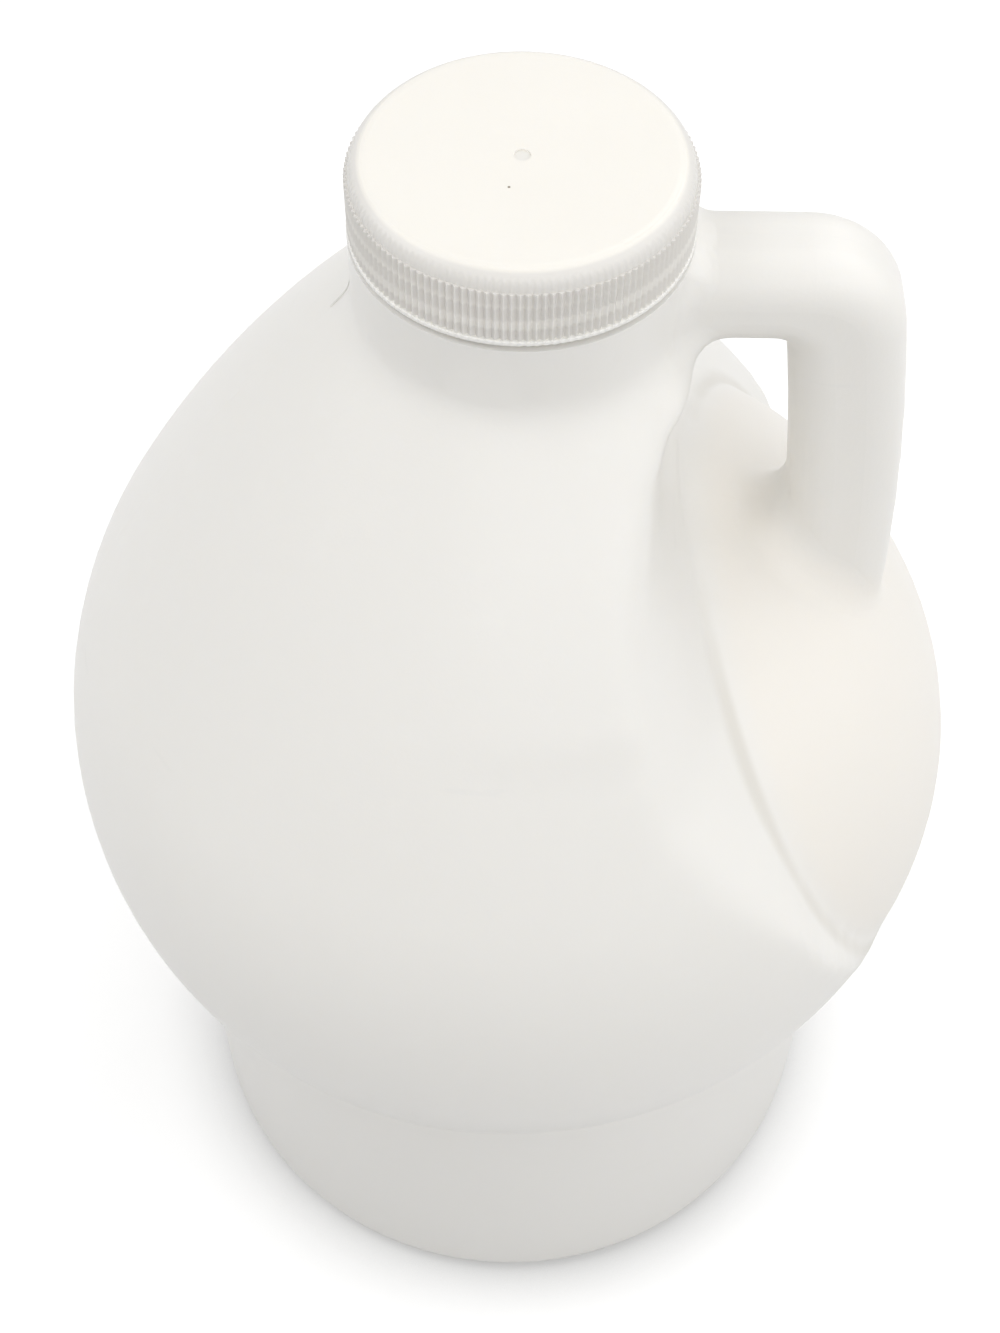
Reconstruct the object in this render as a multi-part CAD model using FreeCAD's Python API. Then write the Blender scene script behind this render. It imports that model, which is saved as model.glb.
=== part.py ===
"""A one-gallon refill jug of blow-moulded plastic, with its screw cap.

The body is a globe on a round foot. It narrows through an egg-shaped shoulder to a short neck. On the
handle side a recess is scooped out of the globe, and a loop handle springs from the neck over it and
comes down on the recess floor. The cap is a separate moulding that sits on the neck.

Millimetres, +Z up, +X towards the handle. The origin is the centre of the foot, on the ground.
"""
import FreeCAD, Part
import math
import os

V = FreeCAD.Vector

# Foot: the round drum under the globe
FOOT_RADIUS = 73.0
FOOT_EDGE = 6.0            # rounding at the ground
GROUND_RING_RADIUS = 58.0  # inner edge of the ring that the jug stands on
PUSH_UP = 4.0              # how far the middle of the bottom is raised
WAIST_FILLET = 4.0         # rounding where the globe meets the foot

# Globe and shoulder
GLOBE_RADIUS = 88.4
GLOBE_LIFT = 47.9          # height of the sphere's lowest point, which lies inside the foot
SHOULDER_START = 28.0      # degrees above the equator where the sphere gives way to the shoulder
SHOULDER_RADIUS = 39.3     # radius where the shoulder ends
SHOULDER_RISE = 9.8        # height of that place above the sphere's highest point
SECTION_STEP = 4.0         # height between the body's sections

# Neck
NECK_RADIUS = 27.0
NECK_FLARE = 8.0           # concave rounding between shoulder and neck
NECK_LENGTH = 10.2         # straight run above the flare

# Recess behind the handle
RECESS_SHRINK = 11.1       # how much smaller its ball-shaped floor is than the globe
RECESS_SHIFT_OUT = 10.4    # where that ball lies from the globe's centre
RECESS_SHIFT_DOWN = 9.8
WALL_DEPTH = 31.8          # the slanting wall lies this deep inside the sphere
WALL_LEAN = 26.6           # degrees from upright
WALL_SETBACK = 4.2         # the upright wall lies this much inside the neck's radius
WALL_BEND = 9.0            # softness where the upright wall turns into the slanting one
RIM_SOFT = 50.0            # softness of the rim between the globe's side and the wall
RIM_SOFT_TIP = 2.5         # softness at the recess's lower tip
RIM_FADE_START = 22.0      # height above the globe's centre where the rim starts to soften
RIM_FADE_RISE = 1.5        # softness gained for each millimetre above that
RIM_FADE_NECK = 1.2        # limit of the softness, as a share of what the body stands out past the neck
VALLEY_SOFT = 3.0          # softness of the crease round the recess's floor
EDGE_ON = 0.02             # share of a direction that points at the recess, below which it meets no wall

# Skin over the body's sections
SKIN_OVERLAP = 4.4         # it starts this far under the waist, inside the foot
RECESS_HALF_ANGLE = 84     # degrees to each side of the handle where a section's points lie close together
CLOSE_POINTS = 72
WIDE_POINTS = 5            # on each half of the round side

# Handle
ARM_THICKNESS = 16.6       # the run from the neck, seen from the side
GRIP_THICKNESS = 19.0      # the grip, seen from the side
HANDLE_WIDTH = 19.6        # seen from the end
HANDLE_EDGE = 7.0          # rounding along its edges
HANDLE_DROP = 1.0          # its top lies this much below the top of the neck
HANDLE_INSET = 37.4        # the handle's centre line turns down this far inside the globe's outline
HANDLE_LEAN = 0.19         # outward run of the grip for each millimetre down, at its top
HANDLE_BOW = 446.0         # radius of the grip's gentle bow
CORNER_OUTSIDE = 16.5
CORNER_INSIDE = 3.0
ARCH_INSIDE = 12.0         # rounding under the handle, at the neck
ARCH_SETBACK = 4.8         # that rounding springs this far inside the neck's radius
GRIP_ROOT = 7.0            # fillet where the grip lands on the recess floor
NECK_ROOT = 6.0            # fillet where the handle leaves the neck
BURIED = 18.0              # length of the handle's ends inside the body

# Cap
CAP_INSET = 0.1            # the cap's ribs lie this far inside the neck's outline
CAP_HEIGHT = 13.0
CAP_CORNER = 3.0
CAP_WALL = 1.4
CAP_TOP = 1.8
RIBS = 140
RIB_DEPTH = 0.5
RIB_LEDGE = 0.05           # the crown springs this much inside the ribs' grooves
CROWN_RISE = 0.8           # straight rise of the crown before its rounding, inside the ribs
BEAD_HEIGHT = 0.9          # the plain ring under the ribs
BEAD_EDGE = 0.3
BEAD_PROUD = 0.1           # the bead stands out this much past the ribs
CAP_FIT = 0.25             # clearance between the cap's bore and the neck's mouth
CAP_GAP = 1.0              # between the cap's rim and the ledge below it
GATE_RADIUS = 1.3          # shallow gate mark in the middle of the cap
GATE_DEPTH = 0.25

# Worked out from the sizes above
GLOBE_CENTRE = GLOBE_LIFT + GLOBE_RADIUS
SHOULDER_HEIGHT = GLOBE_CENTRE + GLOBE_RADIUS + SHOULDER_RISE
START_ANGLE = math.radians(SHOULDER_START)
START_R = GLOBE_RADIUS * math.cos(START_ANGLE)
START_Z = GLOBE_CENTRE + GLOBE_RADIUS * math.sin(START_ANGLE)
FLOOR_RADIUS = GLOBE_RADIUS - RECESS_SHRINK
FLOOR_CENTRE = V(RECESS_SHIFT_OUT, 0, GLOBE_CENTRE - RECESS_SHIFT_DOWN)
WAIST_HEIGHT = GLOBE_CENTRE - math.sqrt(GLOBE_RADIUS ** 2 - FOOT_RADIUS ** 2)
WALL_REACH = GLOBE_RADIUS - WALL_DEPTH
HANDLE_REACH = GLOBE_RADIUS - HANDLE_INSET


def shoulder_arc():
    """Signed radius and centre of the arc that leaves the sphere smoothly and ends at the shoulder."""
    inward = (-math.cos(START_ANGLE), -math.sin(START_ANGLE))
    step = (SHOULDER_RADIUS - START_R, SHOULDER_HEIGHT - START_Z)
    along = step[0] * inward[0] + step[1] * inward[1]
    radius = (step[0] ** 2 + step[1] ** 2) / (2 * along)
    return radius, START_R + inward[0] * radius, START_Z + inward[1] * radius


ARC_RADIUS, ARC_R, ARC_Z = shoulder_arc()


def neck_flare():
    """The shoulder's end slope, and the heights between which the concave flare runs."""
    slope_r = -(SHOULDER_HEIGHT - ARC_Z) / ARC_RADIUS
    slope_z = (SHOULDER_RADIUS - ARC_R) / ARC_RADIUS
    corner = SHOULDER_HEIGHT + slope_z * (NECK_RADIUS - SHOULDER_RADIUS) / slope_r
    tangent = NECK_FLARE * math.tan(math.acos(slope_z) / 2)
    return slope_r / slope_z, corner - tangent * slope_z, corner + tangent


SHOULDER_SLOPE, FLARE_START, FLARE_END = neck_flare()
NECK_TOP = FLARE_END + NECK_LENGTH
CAP_BOTTOM = NECK_TOP + CAP_GAP
CAP_TOP_HEIGHT = CAP_BOTTOM + CAP_HEIGHT
CAP_RADIUS = NECK_RADIUS - CAP_INSET
CAP_BORE = CAP_RADIUS - RIB_DEPTH - CAP_WALL
MOUTH_RADIUS = CAP_BORE - CAP_FIT
MOUTH_TOP = CAP_TOP_HEIGHT - CAP_TOP


def round_radius(z):
    """Radius of the round body at height z, before the recess is scooped out."""
    if z >= FLARE_END:
        return NECK_RADIUS
    if z >= FLARE_START:
        return NECK_RADIUS + NECK_FLARE - math.sqrt(NECK_FLARE ** 2 - (FLARE_END - z) ** 2)
    if z >= SHOULDER_HEIGHT:
        return SHOULDER_RADIUS + SHOULDER_SLOPE * (z - SHOULDER_HEIGHT)
    if z >= START_Z:
        return ARC_R + math.copysign(math.sqrt(ARC_RADIUS ** 2 - (z - ARC_Z) ** 2), ARC_RADIUS)
    return math.sqrt(GLOBE_RADIUS ** 2 - (z - GLOBE_CENTRE) ** 2)


def soft_min(a, b, softness):
    """The smaller of two lengths, with a rounded change from one to the other."""
    share = max(softness - abs(a - b), 0.0) / softness
    return min(a, b) - softness * share ** 3 / 6


def soft_max(a, b, softness):
    return -soft_min(-a, -b, softness)


def wall_distance(z):
    """Distance of the recess wall from the jug's axis at height z, seen from the side."""
    upright = NECK_RADIUS - WALL_SETBACK
    lean = math.radians(WALL_LEAN)
    slanting = (WALL_REACH - (z - GLOBE_CENTRE) * math.sin(lean)) / math.cos(lean)
    wall = soft_max(upright, slanting, WALL_BEND)
    arch = max(z - (FLARE_START - ARCH_INSIDE), 0.0)
    return wall + arch ** 2 / ARCH_INSIDE


def rim_softness(z):
    """How widely the recess's rim is rounded at height z: sharp at the lower tip, wide in the middle."""
    rising = RIM_SOFT_TIP + RIM_FADE_RISE * max(z - GLOBE_CENTRE - RIM_FADE_START, 0.0)
    standing_out = RIM_FADE_NECK * (round_radius(z) - NECK_RADIUS)
    return max(min(rising, RIM_SOFT, standing_out), RIM_SOFT_TIP)


def body_radius(angle, z):
    """Radius of the body towards an angle, at height z."""
    plain = round_radius(z)
    facing = math.cos(angle)
    if facing <= EDGE_ON or z > FLARE_END:
        return plain
    side = soft_min(plain, wall_distance(z) / facing, rim_softness(z))
    across = RECESS_SHIFT_OUT * facing
    left = across ** 2 + FLOOR_RADIUS ** 2 - (z - FLOOR_CENTRE.z) ** 2 - RECESS_SHIFT_OUT ** 2
    if left <= 0:
        return side
    return soft_min(plain, soft_max(across + math.sqrt(left), side, VALLEY_SOFT), RIM_SOFT_TIP)


def section_angles():
    """Angles of a section's points: close together on the recess side, wide apart on the round side."""
    open_half, close, wide = math.radians(RECESS_HALF_ANGLE), CLOSE_POINTS, WIDE_POINTS
    gap = (math.pi - open_half) / wide
    left = [-math.pi + gap * i for i in range(wide)]
    middle = [-open_half + 2 * open_half * i / close for i in range(close)]
    right = [open_half + gap * i for i in range(wide)]
    return left + middle + right


def section(z):
    """Closed curve round the body at height z."""
    angles = section_angles()
    points = []
    for angle in angles:
        radius = body_radius(angle, z)
        points.append(V(radius * math.cos(angle), radius * math.sin(angle), z))
    curve = Part.BSplineCurve()
    stations = [angle + math.pi for angle in angles] + [2 * math.pi]
    curve.interpolate(Points=points, PeriodicFlag=True, Parameters=stations)
    return curve


def section_heights():
    """Heights of the body's sections: even up the globe, close together round the neck's flare."""
    heights = [WAIST_HEIGHT - SKIN_OVERLAP]
    while heights[-1] < FLARE_START - 1.5 * SECTION_STEP:
        heights.append(heights[-1] + SECTION_STEP)
    flare = [FLARE_START, (FLARE_START + FLARE_END) / 2, FLARE_END]
    straight = [FLARE_END + NECK_LENGTH * share for share in (0.25, 0.6, 1.0)]
    return heights + flare + straight


def make_globe():
    """Globe, shoulder, recess and neck: one smooth skin over level sections, closed at both ends."""
    heights = section_heights()
    rings = [section(height) for height in heights]
    columns = []
    for i in range(rings[0].NbPoles):
        column = Part.BSplineCurve()
        column.interpolate(Points=[ring.getPole(i + 1) for ring in rings], Parameters=heights)
        columns.append(column)
    skin = Part.BSplineSurface()
    skin.buildFromPolesMultsKnots(
        [column.getPoles() for column in columns],
        rings[0].getMultiplicities(),
        columns[0].getMultiplicities(),
        rings[0].getKnots(),
        columns[0].getKnots(),
        True,
        False,
        rings[0].Degree,
        columns[0].Degree,
    )
    side = skin.toShape()
    level = [edge for edge in side.Edges if edge.BoundBox.ZLength < 0.001]
    shell = Part.makeShell([side] + [Part.Face(Part.Wire([edge])) for edge in level])
    shell.sewShape()
    return Part.Solid(shell)


def make_foot():
    """Drum with a rounded lower edge and a bottom that is pushed up in the middle."""
    foot = Part.makeCylinder(FOOT_RADIUS, WAIST_HEIGHT + 8)
    ground = [edge for edge in foot.Edges if edge.BoundBox.ZMax < 0.001]
    foot = foot.makeFillet(FOOT_EDGE, ground)
    dome_radius = (GROUND_RING_RADIUS ** 2 + PUSH_UP ** 2) / (2 * PUSH_UP)
    return foot.cut(Part.makeSphere(dome_radius, V(0, 0, PUSH_UP - dome_radius)))


def arc_through(centre, radius, start, end):
    """Arc in the XZ plane, the short way round from start to end."""
    middle = (start + end) * 0.5 - centre
    middle.normalize()
    return Part.Arc(start, centre + middle * radius, end).toShape()


def edges_across(solid, place):
    """The solid's edges that run across the handle at a place of its side view."""
    found = []
    for edge in solid.Edges:
        spot = edge.CenterOfMass - place
        if abs(edge.BoundBox.YLength - HANDLE_WIDTH) < 0.001 and math.hypot(spot.x, spot.z) < 0.5:
            found.append(edge)
    return found


def make_handle():
    """Loop handle: a side view with rounded corners, given its width and rounded along its edges."""
    half = GRIP_THICKNESS / 2
    half_arm = ARM_THICKNESS / 2
    level = NECK_TOP - HANDLE_DROP - half_arm
    inward = V(-1, 0, -HANDLE_LEAN)
    inward.normalize()
    bow_centre = V(HANDLE_REACH, 0, level) + inward * HANDLE_BOW

    def grip(offset, z):
        """Point of the bowed grip at height z, offset outwards from its centre line."""
        radius = HANDLE_BOW + offset
        return V(bow_centre.x + math.sqrt(radius ** 2 - (z - bow_centre.z) ** 2), 0, z)

    landing = HANDLE_REACH + half
    floor = FLOOR_CENTRE.z + math.sqrt(FLOOR_RADIUS ** 2 - (landing - FLOOR_CENTRE.x) ** 2)
    end = floor - BURIED
    wall = NECK_RADIUS - ARCH_SETBACK
    outer = grip(half, level + half_arm)
    inner = grip(-half, level - half_arm)
    outer_end = grip(half, end)
    inner_end = grip(-half, end)
    arch = V(wall, 0, level - half_arm)
    arch_end = V(wall, 0, arch.z - ARCH_INSIDE - BURIED / 2)
    back_low = V(wall - BURIED, 0, arch_end.z)
    back_high = V(wall - BURIED, 0, outer.z)
    outline = [
        Part.makeLine(back_high, outer),
        arc_through(bow_centre, HANDLE_BOW + half, outer, outer_end),
        Part.makeLine(outer_end, inner_end),
        arc_through(bow_centre, HANDLE_BOW - half, inner_end, inner),
        Part.makeLine(inner, arch),
        Part.makeLine(arch, arch_end),
        Part.makeLine(arch_end, back_low),
        Part.makeLine(back_low, back_high),
    ]
    side = Part.Face(Part.Wire(outline))
    side.translate(V(0, -HANDLE_WIDTH / 2, 0))
    handle = side.extrude(V(0, HANDLE_WIDTH, 0))
    for place, radius in ((outer, CORNER_OUTSIDE), (inner, CORNER_INSIDE), (arch, ARCH_INSIDE)):
        handle = handle.makeFillet(radius, edges_across(handle, place))
    shown = []
    for edge in handle.Edges:
        box = edge.BoundBox
        buried = box.XMax < back_low.x + 1 or box.ZMax < end + 1 or box.ZMax < back_low.z + 1
        if box.YLength < 0.001 and not buried:
            shown.append(edge)
    return handle.makeFillet(HANDLE_EDGE, shown)


def root_edges(body, low, high):
    """Edges where the handle meets the rest of the body, between two corners of a box."""
    found = []
    for edge in body.Edges:
        middle = edge.valueAt((edge.FirstParameter + edge.LastParameter) / 2)
        inside = low.x < middle.x < high.x and low.z < middle.z < high.z
        if inside and abs(middle.y) < high.y and edge.Curve.TypeId == "Part::GeomBSplineCurve":
            found.append(edge)
    return found


def make_jug():
    """Body, foot, mouth and handle as one moulding, with rounded joins."""
    mouth = Part.makeCylinder(MOUTH_RADIUS, MOUTH_TOP - FLARE_END, V(0, 0, FLARE_END))
    jug = make_globe().fuse([make_foot(), mouth, make_handle()]).Solids[0]
    beside = HANDLE_WIDTH / 2 + 0.7
    landing = FLOOR_CENTRE.z + FLOOR_RADIUS
    grip_low = V(NECK_RADIUS + 10, 0, landing - 40)
    grip_high = V(GLOBE_RADIUS, beside, landing)
    jug = jug.makeFillet(GRIP_ROOT, root_edges(jug, grip_low, grip_high))
    neck_low = V(NECK_RADIUS - 7, 0, FLARE_START - 2 * ARCH_INSIDE)
    neck_high = V(NECK_RADIUS + 13, beside, NECK_TOP - 0.05)
    jug = jug.makeFillet(NECK_ROOT, root_edges(jug, neck_low, neck_high))
    waist_low = WAIST_HEIGHT - 3
    waist = [e for e in jug.Edges if waist_low < e.BoundBox.ZMin and e.BoundBox.ZMax < WAIST_HEIGHT + 3]
    return jug.makeFillet(WAIST_FILLET, waist)


def ribbed_outline():
    """Closed zigzag of the cap's ribs, seen from above."""
    points = []
    for i in range(2 * RIBS):
        angle = math.pi * i / RIBS
        radius = CAP_RADIUS - RIB_DEPTH * (i % 2)
        points.append(V(radius * math.cos(angle), radius * math.sin(angle), 0))
    points.append(points[0])
    return Part.makePolygon(points)


def make_cap():
    """Shallow screw cap: a plain bead at its rim, fine ribs up its side and a rounded crown."""
    ribbed = Part.Face(ribbed_outline()).extrude(V(0, 0, CAP_HEIGHT - CAP_CORNER - BEAD_HEIGHT))
    ribbed.translate(V(0, 0, BEAD_HEIGHT))
    crown = Part.makeCylinder(CAP_RADIUS - RIB_DEPTH - RIB_LEDGE, CAP_CORNER + CROWN_RISE)
    crown.translate(V(0, 0, CAP_HEIGHT - CAP_CORNER - CROWN_RISE))
    rim = [edge for edge in crown.Edges if edge.BoundBox.ZMin > CAP_HEIGHT - 0.001]
    crown = crown.makeFillet(CAP_CORNER, rim)
    bead = Part.makeCylinder(CAP_RADIUS + BEAD_PROUD, BEAD_HEIGHT)
    bead = bead.makeFillet(BEAD_EDGE, [edge for edge in bead.Edges if edge.BoundBox.ZLength < 0.001])
    cap = ribbed.fuse([crown, bead])
    cap = cap.cut(Part.makeCylinder(CAP_BORE, CAP_HEIGHT - CAP_TOP))
    cap = cap.cut(Part.makeCylinder(GATE_RADIUS, GATE_DEPTH, V(0, 0, CAP_HEIGHT - GATE_DEPTH)))
    cap.translate(V(0, 0, CAP_BOTTOM))
    return cap.Solids[0]


os.makedirs("parts", exist_ok=True)
for name, shape in (("jug", make_jug()), ("cap", make_cap())):
    shape.exportStep("parts/" + name + ".step")
    print(name, shape.isValid(), "%.1f cm3" % (shape.Volume / 1000), shape.BoundBox)
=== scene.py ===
"""Conditioner refill jug: the finish of its two mouldings, their small details and a plain studio.

Everything is in metres, in the frame of the solids: +Z up the neck's axis, +X towards the handle.
"""
import math

import bpy
from mathutils import Matrix, Vector


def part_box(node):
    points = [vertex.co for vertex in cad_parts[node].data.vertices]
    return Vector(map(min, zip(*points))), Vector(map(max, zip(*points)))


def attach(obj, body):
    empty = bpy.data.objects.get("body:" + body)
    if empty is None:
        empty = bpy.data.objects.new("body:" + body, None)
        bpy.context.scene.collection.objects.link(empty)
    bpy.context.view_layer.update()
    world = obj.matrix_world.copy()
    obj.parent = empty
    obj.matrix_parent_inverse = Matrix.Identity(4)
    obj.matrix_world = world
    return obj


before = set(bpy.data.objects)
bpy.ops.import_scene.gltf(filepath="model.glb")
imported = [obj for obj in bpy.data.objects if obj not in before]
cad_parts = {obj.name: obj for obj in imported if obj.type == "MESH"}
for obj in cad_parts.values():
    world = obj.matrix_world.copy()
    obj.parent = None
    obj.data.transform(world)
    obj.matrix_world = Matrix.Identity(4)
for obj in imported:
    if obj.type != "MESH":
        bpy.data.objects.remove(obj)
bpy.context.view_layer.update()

MM = 0.001

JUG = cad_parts["jug"]
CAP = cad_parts["cap"]
CAP_LOW, CAP_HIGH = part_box("cap")
CAP_RADIUS = (CAP_HIGH.x - CAP_LOW.x) / 2
CAP_HEIGHT = CAP_HIGH.z - CAP_LOW.z
CAP_FOOT = CAP_LOW.z
RIBS = 140                                      # fine ribs round the cap

GLOBE_CENTRE = 136.3 * MM                       # height of the globe's middle
RECESS_CENTRE = (10.4 * MM, 0.0, 126.5 * MM)    # of the ball that the recess's floor follows
RECESS_RADIUS = 77.3 * MM
WALL_REACH = 56.6 * MM                          # from the globe's middle to the recess's wall
WALL_LEAN = math.radians(26.6)


# ---------------------------------------------------------------- shader expressions

PLASTIC_IOR = 1.5
DIRECT_RAYS = ("Is Camera Ray", "Is Glossy Ray", "Is Transmission Ray")


class Value:
    """One output of a node, with arithmetic that adds Math nodes."""

    def __init__(self, shading, socket):
        self.shading = shading
        self.socket = socket

    def __add__(self, other):
        return self.shading.calc("ADD", self, other)

    def __radd__(self, other):
        return self.shading.calc("ADD", other, self)

    def __sub__(self, other):
        return self.shading.calc("SUBTRACT", self, other)

    def __rsub__(self, other):
        return self.shading.calc("SUBTRACT", other, self)

    def __mul__(self, other):
        return self.shading.calc("MULTIPLY", self, other)

    def __rmul__(self, other):
        return self.shading.calc("MULTIPLY", other, self)

    def __truediv__(self, other):
        return self.shading.calc("DIVIDE", self, other)

    def __pow__(self, other):
        return self.shading.calc("POWER", self, other)

    def __abs__(self):
        return self.shading.calc("ABSOLUTE", self)


class Shading:
    """The nodes of one material or world."""

    def __init__(self, owner, ending="ShaderNodeOutputMaterial"):
        self.owner = owner
        self.ending = ending
        owner.use_nodes = True
        self.tree = owner.node_tree
        self.tree.nodes.clear()

    def node(self, kind, inputs=None, output=0, **settings):
        """Adds a node with these socket values or links and settings, and returns one output."""
        made = self.tree.nodes.new(kind)
        for name, setting in settings.items():
            setattr(made, name, setting)
        for key, given in (inputs or {}).items():
            self._feed(made.inputs[key], given)
        return Value(self, made.outputs[output])

    def _feed(self, socket, given):
        if isinstance(given, Value):
            self.tree.links.new(given.socket, socket)
        elif socket.type == "RGBA":
            socket.default_value = (*given, 1.0)
        else:
            socket.default_value = given

    def finish(self, shader):
        """Links the shader to the output, and returns the material or world."""
        end = self.tree.nodes.new(self.ending)
        self.tree.links.new(shader.socket, end.inputs["Surface"])
        return self.owner

    def calc(self, operation, *inputs):
        """One Math node."""
        return self.node("ShaderNodeMath", dict(enumerate(inputs)), operation=operation)

    def place(self):
        """The point on the piece, in metres."""
        return self.node("ShaderNodeTexCoord", output="Object")

    def parts_of(self, vector):
        """The three coordinates of a vector."""
        split = self.tree.nodes.new("ShaderNodeSeparateXYZ")
        self.tree.links.new(vector.socket, split.inputs[0])
        return [Value(self, socket) for socket in split.outputs]

    def stretched(self, vector, height_scale):
        """A vector with its height scaled: noise on it is drawn out below 1 and squeezed above."""
        return self.node("ShaderNodeMapping", {"Vector": vector, "Scale": (1.0, 1.0, height_scale)})

    def direct(self):
        """1 for what is seen, also mirrored or through glass, and 0 for light that bounces."""
        path = self.tree.nodes.new("ShaderNodeLightPath")
        seen, mirrored, through = (Value(self, path.outputs[kind]) for kind in DIRECT_RAYS)
        return self.calc("MAXIMUM", self.calc("MAXIMUM", seen, mirrored), through)

    def noise(self, vector, cells, octaves=2.0, roughness=0.5):
        """Smooth noise from 0 to 1, with so many cells per metre."""
        return self.node("ShaderNodeTexNoise", {
            "Vector": vector, "Scale": cells, "Detail": octaves, "Roughness": roughness})

    def blend(self, amount, first, second):
        """A colour between two colours."""
        return self.node("ShaderNodeMix", {"Factor": amount, 6: first, 7: second}, output=2,
                         data_type="RGBA", clamp_factor=True)

    def ramp(self, value, low, high, top=1.0):
        """A clamped smooth step that rises from 0 between two limits."""
        return self.node("ShaderNodeMapRange", {
            "Value": value, "From Min": low, "From Max": high, "To Min": 0.0, "To Max": top},
            interpolation_type="SMOOTHSTEP")

    def fade(self, value, low, high):
        """A clamped smooth step that falls from 1 to 0 between two limits."""
        return 1.0 - self.ramp(value, low, high)

    def relief(self, *layers):
        """Bumps laid one over another, each given as a height from 0 to 1, a depth and a strength."""
        normal = None
        for height, depth, strength in layers:
            inputs = {"Height": height, "Distance": depth, "Strength": strength}
            if normal is not None:
                inputs["Normal"] = normal
            normal = self.node("ShaderNodeBump", inputs)
        return normal

    def plastic(self, colour, roughness, normal, gloss, haze=None):
        """The finished plastic. Haze is how much light enters it, how colours spread and how deep."""
        inputs = {"Base Color": colour, "Roughness": roughness, "Normal": normal,
                  "IOR": PLASTIC_IOR, "Specular IOR Level": gloss}
        settings = {}
        if haze is not None:
            inputs.update(zip(("Subsurface Weight", "Subsurface Radius", "Subsurface Scale"), haze))
            settings["subsurface_method"] = "RANDOM_WALK"
        return self.finish(self.node("ShaderNodeBsdfPrincipled", inputs, **settings))


def new_material(name):
    """The shading of a new material."""
    return Shading(bpy.data.materials.new(name))


def flat_length(x, y):
    """The level distance that these two coordinates span."""
    return (x * x + y * y) ** 0.5


# ---------------------------------------------------------------- finish of the jug

JUG_WHITES = ((0.842, 0.826, 0.792), (0.878, 0.863, 0.829))     # its darker and lighter clouds
JUG_DRAWN = 0.22                # height scale of what the blowing drew out: clouds and sags
JUG_ROUGHNESS = 0.33
CLOUD_ROUGHNESS = 0.09          # added on the lighter clouds
JUG_GLOSS = 0.3
JUG_HAZE = (0.35, (1.0, 0.96, 0.86), 4 * MM)

FLECK_WHITE = (0.885, 0.872, 0.835)
FLECK_LEVELS = (0.55, 0.85)     # of the noise, between which the flecks come up
FLECK_SHARE = 0.35
SCUFF_GREY = (0.79, 0.785, 0.765)
SCUFF_LEVELS = (0.66, 0.74)
SCUFF_SHARE = 0.18
SCUFF_SQUEEZE = 6.0             # height scale of the scuffs, which run round the jug
SCUFF_ROUGHNESS = 0.10

PAINTED_GLOW_WHITE = (0.882, 0.846, 0.788)      # painted warm bounce light on the recess's floor
PAINTED_GLOW_PAST_WALL = (-0.5 * MM, 5.0 * MM)  # it sets in over this stretch beyond the recess's wall
PAINTED_GLOW_OFF_FLOOR = (1.0 * MM, 7.0 * MM)   # and ends over this one off the recess's floor
PAINTED_GLOW_SHARE = 0.45
PAINTED_GLOW_CLOUD_SHARE = 0.6          # added on the lighter clouds
CREASE_PAINTED_SHADE = (0.67, 0.64, 0.575)       # painted shade: soft dark line where the recess's wall meets its floor
CREASE_SETBACK = 0.3 * MM
CREASE_WIDTH = (0.2 * MM, 1.5 * MM)
CREASE_OFF_FLOOR = (0.5 * MM, 2.6 * MM)
CREASE_FOOT = (104 * MM, 122 * MM)      # heights over which it comes up
CREASE_HEAD = (186 * MM, 202 * MM)      # and dies away
CREASE_SHADE_SHARE = 0.5

SEAM_WIDTH = (0.08 * MM, 0.4 * MM)      # of the faint parting line all round the jug


def recess_painted_light(made, place, cloud, colour):
    """Lays painted light and shade in the recess over a colour: painted warm bounce light on its floor
    and painted shade along the crease beside it.
    """
    x, _, z = made.parts_of(place)
    to_centre = made.node("ShaderNodeVectorMath", {0: place, 1: RECESS_CENTRE}, "Value",
                          operation="DISTANCE")
    off_floor = abs(to_centre - RECESS_RADIUS)
    past_wall = x * math.cos(WALL_LEAN) + (z - GLOBE_CENTRE) * math.sin(WALL_LEAN) - WALL_REACH
    # painted warm bounce light on the recess's floor, not a colour of the plastic
    painted_glow = made.ramp(past_wall, *PAINTED_GLOW_PAST_WALL) * made.fade(off_floor, *PAINTED_GLOW_OFF_FLOOR)
    colour = made.blend(painted_glow * (PAINTED_GLOW_SHARE + PAINTED_GLOW_CLOUD_SHARE * cloud), colour, PAINTED_GLOW_WHITE)
    # painted shade along the crease between the recess's wall and floor
    crease_shade = made.fade(abs(past_wall + CREASE_SETBACK), *CREASE_WIDTH)
    crease_shade = crease_shade * made.fade(off_floor, *CREASE_OFF_FLOOR)
    crease_shade = crease_shade * made.ramp(z, *CREASE_FOOT) * made.fade(z, *CREASE_HEAD)
    return made.blend(crease_shade * CREASE_SHADE_SHARE, colour, CREASE_PAINTED_SHADE)


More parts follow.
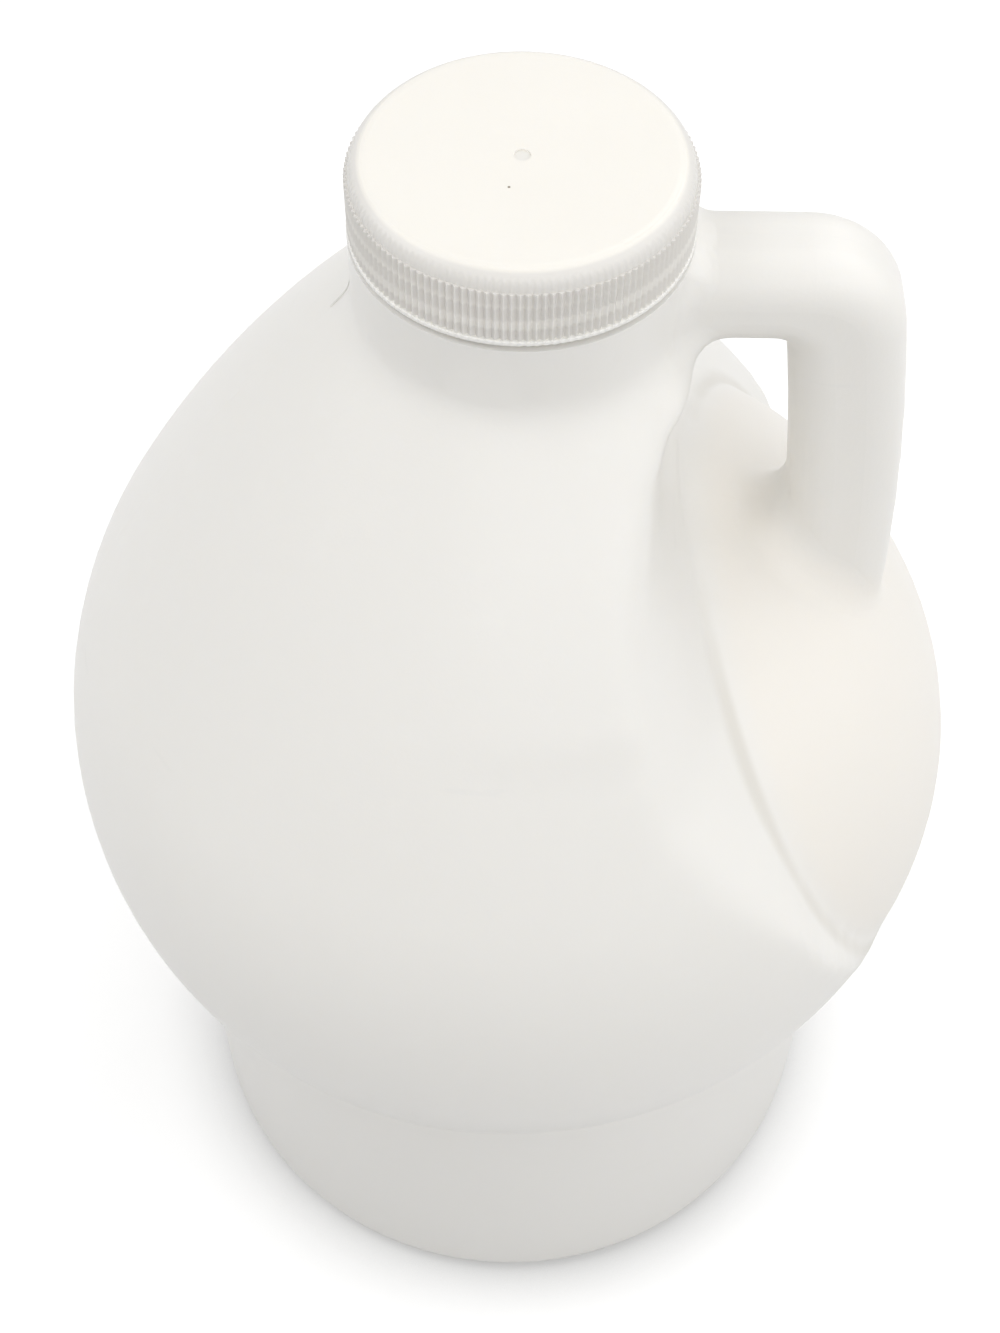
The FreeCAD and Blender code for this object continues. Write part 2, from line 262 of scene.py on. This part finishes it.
def jug_plastic():
    """Natural white blow-moulded plastic: satin, faintly cloudy, with soft sags and a parting line."""
    made = new_material("jug_plastic")
    place = made.place()
    drawn = made.stretched(place, JUG_DRAWN)
    squeezed = made.stretched(place, SCUFF_SQUEEZE)
    cloud = made.noise(drawn, cells=15.0, octaves=3.0)
    flecks = made.noise(place, cells=110.0, octaves=3.0, roughness=0.6)
    scuffs = made.noise(squeezed, cells=38.0, octaves=5.0, roughness=0.65)
    scuffed = made.ramp(scuffs, *SCUFF_LEVELS)
    colour = made.blend(cloud, *JUG_WHITES)
    colour = made.blend(made.ramp(flecks, *FLECK_LEVELS, top=FLECK_SHARE), colour, FLECK_WHITE)
    colour = made.blend(scuffed * SCUFF_SHARE, colour, SCUFF_GREY)
    colour = recess_painted_light(made, place, cloud, colour)
    roughness = JUG_ROUGHNESS + CLOUD_ROUGHNESS * cloud + SCUFF_ROUGHNESS * scuffed
    _, y, _ = made.parts_of(place)
    normal = made.relief(
        (made.noise(place, cells=1500.0), 0.05 * MM, 0.35),     # the mould's pebbled skin
        (made.noise(place, cells=260.0), 0.10 * MM, 0.22),      # orange peel
        (made.noise(drawn, cells=42.0), 0.45 * MM, 0.25),       # sags
        (made.fade(abs(y), *SEAM_WIDTH), 0.03 * MM, 0.5))
    return made.plastic(colour, roughness, normal, JUG_GLOSS, JUG_HAZE)


FLASH_TONES = ((0.82, 0.805, 0.775), (0.72, 0.705, 0.675))      # clean and soiled
FLASH_SOIL_LEVELS = (0.35, 0.7)
FLASH_ROUGHNESS = 0.42
SOIL_ROUGHNESS = 0.2
FLASH_GLOSS = 0.4


def seam_plastic():
    """The parting line's flash: the jug's plastic, rubbed and a little soiled along its edge."""
    made = new_material("seam_plastic")
    place = made.place()
    soil = made.noise(place, cells=190.0, octaves=4.0, roughness=0.65)
    colour = made.blend(made.ramp(soil, *FLASH_SOIL_LEVELS), *FLASH_TONES)
    normal = made.relief((made.noise(place, cells=1800.0, octaves=3.0), 0.05 * MM, 0.5))
    return made.plastic(colour, FLASH_ROUGHNESS + SOIL_ROUGHNESS * soil, normal, FLASH_GLOSS)


# ---------------------------------------------------------------- finish of the cap

# Radii are from the cap's axis and heights above its foot. A zone sets in or dies away over each pair.
CROWN_CREAMS = ((0.868, 0.842, 0.786), (0.892, 0.866, 0.810))   # its darker and lighter clouds
# painted shade on the crown's rounded corner
CORNER_PAINTED_SHADE = (0.775, 0.755, 0.72)
CORNER_RADII = (CAP_RADIUS - 2.5 * MM, CAP_RADIUS - 1.9 * MM)
# painted shade on the cap's upright skirt, in its darker and lighter clouds
SKIRT_PAINTED_SHADES = ((0.755, 0.735, 0.70), (0.785, 0.765, 0.73))
SKIRT_RADII = (CAP_RADIUS - 2.4 * MM, CAP_RADIUS - 1.0 * MM)
SKIRT_TOP = (CAP_HEIGHT - 4.2 * MM, CAP_HEIGHT - 2.6 * MM)
# painted highlight on the bead at the skirt's foot
BEAD_PAINTED_HIGHLIGHT = (0.93, 0.915, 0.875)
BEAD_TOP = (0.95 * MM, 1.15 * MM)
CAP_ROUGHNESS = 0.27
CAP_CLOUD_ROUGHNESS = 0.10
SKIRT_ROUGHNESS = 0.12
CAP_GLOSS = 0.5
CAP_HAZE = (0.3, (1.0, 0.96, 0.85), 1.2 * MM)

THREAD_CREAM = (0.87, 0.85, 0.81)
THREAD_SHARE = 0.85
THREAD_PITCH = 4.23 * MM
THREAD_RISE = 3.9 * MM          # height of the band where the thread shows through, at the front
THREAD_EDGE = (0.12, 0.30)      # turns off the band's middle over which it fades
THREAD_FOOT = (1.4 * MM, 2.6 * MM)
THREAD_TOP = (6.8 * MM, 8.4 * MM)
FRONT_TURN = -0.25              # the front, in turns from the handle's side
HALF_TURN = 0.5                 # a point is never further than this from a pass of the thread

GATE_GREY = (0.74, 0.73, 0.70)
GATE_RADII = (1.1 * MM, 1.9 * MM)
GATE_WOBBLE = 0.5 * MM
GATE_SHARE = 0.5
SPECK_BROWN = (0.22, 0.18, 0.13)
SPECK_PLACE = (-1.9 * MM, -7.2 * MM)
SPECK_RADII = (0.12 * MM, 0.3 * MM)

RING_PITCH = 0.9 * MM           # faint turning marks on the crown
LIP_RADIUS = CAP_RADIUS - 2.6 * MM      # slight lip where the crown ends
LIP_WIDTH = (0.05 * MM, 0.4 * MM)
SCALLOP_TOP = (CAP_HEIGHT - 1.5 * MM, CAP_HEIGHT - 0.7 * MM)    # the ribs run on faintly up to here


def thread_band(made, rise, turn):
    """1 along the band where the thread shows through the skirt, and 0 off it."""
    helix = (rise - THREAD_RISE) / THREAD_PITCH - turn + FRONT_TURN
    off_band = made.calc("PINGPONG", helix, HALF_TURN)
    band = made.fade(off_band, *THREAD_EDGE)
    return band * made.ramp(rise, *THREAD_FOOT) * made.fade(rise, *THREAD_TOP)


def crown_marks(made, place, colour):
    """Lays the gate mark's ragged spot and one dark speck over a colour."""
    x, y, _ = made.parts_of(place)
    ragged = flat_length(x, y) + GATE_WOBBLE * made.noise(place, cells=900.0)
    colour = made.blend(made.fade(ragged, *GATE_RADII) * GATE_SHARE, colour, GATE_GREY)
    off_speck = flat_length(x - SPECK_PLACE[0], y - SPECK_PLACE[1])
    return made.blend(made.fade(off_speck, *SPECK_RADII), colour, SPECK_BROWN)


def cap_plastic():
    """Injection-moulded cream plastic: a clean flat crown, with painted shade on its corner and skirt
    and a painted highlight on its bead.
    """
    made = new_material("cap_plastic")
    place = made.place()
    x, y, z = made.parts_of(place)
    radius = flat_length(x, y)
    rise = z - CAP_FOOT
    turn = made.calc("ARCTAN2", y, x) / math.tau
    cloud = made.noise(place, cells=70.0, octaves=3.0)
    corner = made.ramp(radius, *CORNER_RADII)
    outside = made.ramp(radius, *SKIRT_RADII)
    skirt = outside * made.fade(rise, *SKIRT_TOP)
    bead = outside * made.fade(rise, *BEAD_TOP)
    thread = thread_band(made, rise, turn)

    # painted shade greys the crown's rounded corner
    crown = made.blend(corner, made.blend(cloud, *CROWN_CREAMS), CORNER_PAINTED_SHADE)
    # painted shade on the skirt, with the thread band showing through
    shaded_skirt = made.blend(thread * THREAD_SHARE, made.blend(cloud, *SKIRT_PAINTED_SHADES), THREAD_CREAM)
    # painted highlight on the bead
    colour = made.blend(bead, made.blend(skirt, crown, shaded_skirt), BEAD_PAINTED_HIGHLIGHT)
    colour = crown_marks(made, place, colour)

    rings = made.calc("SINE", radius * (math.tau / RING_PITCH))
    lip = made.fade(abs(radius - LIP_RADIUS), *LIP_WIDTH)
    scallop = made.calc("COSINE", turn * (math.tau * RIBS)) * corner * made.fade(rise, *SCALLOP_TOP)
    normal = made.relief(
        (made.noise(place, cells=2200.0), 0.04 * MM, 0.3),      # the mould's grain
        (rings, 0.006 * MM, 0.3),
        (lip, 0.08 * MM, 0.6),
        (scallop, 0.10 * MM, 0.6),
        (thread * skirt, 0.15 * MM, 0.5))
    roughness = CAP_ROUGHNESS + CAP_CLOUD_ROUGHNESS * cloud + SKIRT_ROUGHNESS * skirt
    return made.plastic(colour, roughness, normal, CAP_GLOSS, CAP_HAZE)


PEARL_HIGHLIGHT_CREAMS = ((0.90, 0.885, 0.845), (0.945, 0.93, 0.89))      # painted highlight on the rib ends, in less and more worn spots
PEARL_ROUGHNESS = 0.2
WEAR_ROUGHNESS = 0.12
PEARL_GLOSS = 0.6


def pearl_plastic():
    """The rib ends on the bead, painted brighter as a highlight, with spots of wear."""
    made = new_material("pearl_plastic")
    place = made.place()
    wear = made.noise(place, cells=400.0, octaves=3.0)
    colour = made.blend(wear, *PEARL_HIGHLIGHT_CREAMS)
    normal = made.relief((made.noise(place, cells=3000.0), 0.02 * MM, 0.3))
    return made.plastic(colour, PEARL_ROUGHNESS + WEAR_ROUGHNESS * wear, normal, PEARL_GLOSS)


def dress(piece, material):
    """Gives a piece this material and no other."""
    piece.data.materials.clear()
    piece.data.materials.append(material)


# ---------------------------------------------------------------- small moulded details

SEAM_HALF = 0.22 * MM           # half the width of the mould's parting line
SEAM_PROUD = 0.14 * MM
SEAM_FROM = 244.5 * MM          # below this height the line is trimmed flush
PINCH_HALF = 0.7 * MM           # half the width of the pinched-off tail under the foot
PINCH_PROUD = 0.8 * MM
PINCH_REACH = 34 * MM
PINCH_TOP = 8 * MM              # the underside lies below this height
STRIP_SUNK = 0.14 * MM          # how deep these raised lines root in the skin
STRIP_WELD = 0.002 * MM         # joins the solid's faces into one skin
STRIP_FLAT = math.radians(0.5)  # edges flatter than this are dissolved
STRIP_SMOOTH = math.radians(40)

PEARL_SIZE = 0.62 * MM          # rib ends that bulge on the cap's bead
PEARL_RISE = 0.72 * MM          # of its middle above the cap's foot
PEARL_EDGE = 0.18 * MM
PEARL_SQUASH = (0.8, 1.0, 0.75)         # its depth, width and height as shares of its size
PEARL_SUNK = 0.4                # how far its middle lies inside the cap's outline, in its own sizes


def select_none():
    bpy.ops.object.select_all(action="DESELECT")


def take_up(piece):
    """Makes a piece the only one selected and active."""
    select_none()
    piece.select_set(True)
    bpy.context.view_layer.objects.active = piece


def cut_away(place, normal):
    """In edit mode: removes all that lies beyond a plane, on the side its normal points to."""
    bpy.ops.mesh.select_all(action="SELECT")
    bpy.ops.mesh.bisect(plane_co=place, plane_no=normal, clear_outer=True)


def skin_strip(name, half_width, proud, cuts, material):
    """A raised line along the jug's own skin at y = 0, without what lies beyond each cut."""
    strip = bpy.data.objects.new(name, JUG.data.copy())
    bpy.context.scene.collection.objects.link(strip)
    take_up(strip)
    bpy.ops.object.mode_set(mode="EDIT")
    bpy.ops.mesh.select_all(action="SELECT")
    bpy.ops.mesh.remove_doubles(threshold=STRIP_WELD)
    cut_away((0, half_width, 0), (0, 1, 0))
    cut_away((0, -half_width, 0), (0, -1, 0))
    for place, normal in cuts:
        cut_away(place, normal)
    bpy.ops.mesh.select_all(action="SELECT")
    bpy.ops.mesh.dissolve_limited(angle_limit=STRIP_FLAT)
    bpy.ops.object.mode_set(mode="OBJECT")
    shell = strip.modifiers.new("proud", "SOLIDIFY")
    shell.thickness = proud + STRIP_SUNK
    shell.offset = proud / (proud + STRIP_SUNK) * 2 - 1
    bpy.ops.object.modifier_apply(modifier=shell.name)
    bpy.ops.object.shade_smooth_by_angle(angle=STRIP_SMOOTH)
    dress(strip, material)
    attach(strip, "root")


def mould_marks():
    """The parting line down the neck opposite the handle, and the pinched-off tail under the foot."""
    flash = seam_plastic()
    skin_strip("parting_line", SEAM_HALF, SEAM_PROUD, (
        ((0, 0, 0), (1, 0, 0)),
        ((0, 0, SEAM_FROM), (0, 0, -1)),
        ((0, 0, CAP_FOOT), (0, 0, 1))), flash)
    skin_strip("pinch_tail", PINCH_HALF, PINCH_PROUD, (
        ((0, 0, PINCH_TOP), (0, 0, 1)),
        ((PINCH_REACH, 0, 0), (1, 0, 0)),
        ((-PINCH_REACH, 0, 0), (-1, 0, 0))), flash)


def pearl():
    """One rounded rib end, bulging from the bead at the +X side of the cap."""
    select_none()
    bpy.ops.mesh.primitive_cube_add(size=PEARL_SIZE, location=(0, 0, 0))
    made = bpy.context.object
    bpy.ops.object.mode_set(mode="EDIT")
    bpy.ops.mesh.select_all(action="SELECT")
    bpy.ops.mesh.bevel(offset=PEARL_EDGE, segments=2, profile=0.5, affect="EDGES")
    bpy.ops.mesh.select_all(action="SELECT")
    bpy.ops.transform.resize(value=PEARL_SQUASH)
    reach = CAP_RADIUS - PEARL_SUNK * PEARL_SIZE
    bpy.ops.transform.translate(value=(reach, 0, CAP_FOOT + PEARL_RISE))
    bpy.ops.object.mode_set(mode="OBJECT")
    bpy.ops.object.shade_smooth()
    return made


def bead_pearls():
    """The row of rib ends on the cap's bead, joined into one piece."""
    first = pearl()
    copies = [first]
    for i in range(1, RIBS):
        twin = bpy.data.objects.new("pearl", first.data.copy())
        bpy.context.scene.collection.objects.link(twin)
        twin.data.transform(Matrix.Rotation(math.tau * i / RIBS, 4, "Z"))
        copies.append(twin)
    take_up(first)
    for twin in copies:
        twin.select_set(True)
    bpy.ops.object.join()
    first.name = "bead_pearls"
    first.data.transform(first.matrix_world)
    first.matrix_world = Matrix.Identity(4)
    dress(first, pearl_plastic())
    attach(first, "root")


# ---------------------------------------------------------------- studio

WHITE = (1.0, 1.0, 1.0)
FLOOR_HALF = 1.6
FLOOR_DROP = 0.05 * MM          # keeps the floor clear of the face that the jug stands on
FLOOR_GLOW = 0.10               # emission that lifts it to white where it is seen
FLOOR_BOUNCE = (0.40, 0.40, 0.40)       # its colour for light that bounces
PAINTED_SHADOW_TONE = (0.70, 0.70, 0.695)        # painted shadow: the floor's colour close to the foot
SHADE_REACH = 28 * MM
SHADE_LEVELS = (0.36, 0.92)     # of openness to the sky, between which it pales to white
SHADE_SAMPLES = 8
SKY_STRENGTH = 0.63

CAMERA_PLACE = (0.0, -0.2356, 0.4728)
CAMERA_DOWN = math.radians(54.24)
CAMERA_LEFT = math.radians(0.70)
CAMERA_ROLL = math.radians(0.35)
LENS_MM = 54.0
SENSOR_MM = 36.0

LAMP_TARGET = (0.0, 0.0, 0.14)
LAMPS = (                       # name, place, size in metres, watts
    ("overhead", (0.0, 0.0, 1.4), 1.2, 0.35),
    ("right", (1.0, 0.0, 0.8), 0.8, 1.6),
    ("left", (-0.85, 0.0, 1.0), 0.8, 3.5),
    ("front", (0.0, -1.0, 0.9), 0.8, 2.2),
    ("back_right", (0.7, 0.7, 1.1), 0.8, 3.0),
    ("front_right", (0.8, -0.7, 0.8), 0.8, 2.4),
)


def white_sweep():
    """A floor that looks white itself, with a painted shadow that greys it close to the foot, and
    bounces less light than white.
    """
    made = new_material("white_sweep")
    direct = made.direct()
    openness = made.node("ShaderNodeAmbientOcclusion", {"Distance": SHADE_REACH}, "AO",
                         samples=SHADE_SAMPLES)
    # painted contact shadow round the foot, from how shut in the floor is
    seen = made.blend(made.ramp(openness, *SHADE_LEVELS), PAINTED_SHADOW_TONE, WHITE)
    matte = made.node("ShaderNodeBsdfDiffuse", {"Color": made.blend(direct, FLOOR_BOUNCE, seen)})
    glow = made.node("ShaderNodeEmission", {"Color": WHITE, "Strength": FLOOR_GLOW * direct})
    return made.finish(made.node("ShaderNodeAddShader", {0: matte, 1: glow}))


def lay_floor():
    """The floor under the jug, larger than the camera's own view of it."""
    select_none()
    bpy.ops.mesh.primitive_plane_add(size=2 * FLOOR_HALF, location=(0, 0, -FLOOR_DROP))
    floor = bpy.context.object
    floor.name = "floor"
    dress(floor, white_sweep())


def set_world():
    """White where it is seen, and an even pale light from all round for the rest."""
    world = bpy.data.worlds.new("sky")
    made = Shading(world, "ShaderNodeOutputWorld")
    strength = made.node("ShaderNodeMapRange", {"Value": made.direct(), "To Min": SKY_STRENGTH})
    made.finish(made.node("ShaderNodeBackground", {"Color": WHITE, "Strength": strength}))
    bpy.context.scene.world = world


def set_camera():
    """A close view from high in front."""
    eye = bpy.data.cameras.new("camera")
    eye.lens = LENS_MM
    eye.sensor_width = SENSOR_MM
    camera = bpy.data.objects.new("camera", eye)
    bpy.context.scene.collection.objects.link(camera)
    turn = Matrix.Rotation(CAMERA_LEFT, 4, "Z")
    tilt = Matrix.Rotation(math.pi / 2 - CAMERA_DOWN, 4, "X")
    roll = Matrix.Rotation(CAMERA_ROLL, 4, "Z")
    camera.matrix_world = Matrix.Translation(CAMERA_PLACE) @ turn @ tilt @ roll
    bpy.context.scene.camera = camera


def hang_lamp(name, place, size, power):
    """A square lamp that faces the middle of the jug."""
    lamp = bpy.data.lights.new(name, "AREA")
    lamp.shape = "SQUARE"
    lamp.size = size
    lamp.energy = power
    made = bpy.data.objects.new(name, lamp)
    bpy.context.scene.collection.objects.link(made)
    made.location = place
    aim = Vector(LAMP_TARGET) - Vector(place)
    made.rotation_euler = aim.to_track_quat("-Z", "Y").to_euler()


dress(JUG, jug_plastic())
dress(CAP, cap_plastic())
mould_marks()
bead_pearls()
lay_floor()
set_camera()
set_world()
for name, place, size, power in LAMPS:
    hang_lamp(name, place, size, power)

bpy.context.scene.view_settings.view_transform = "Standard"
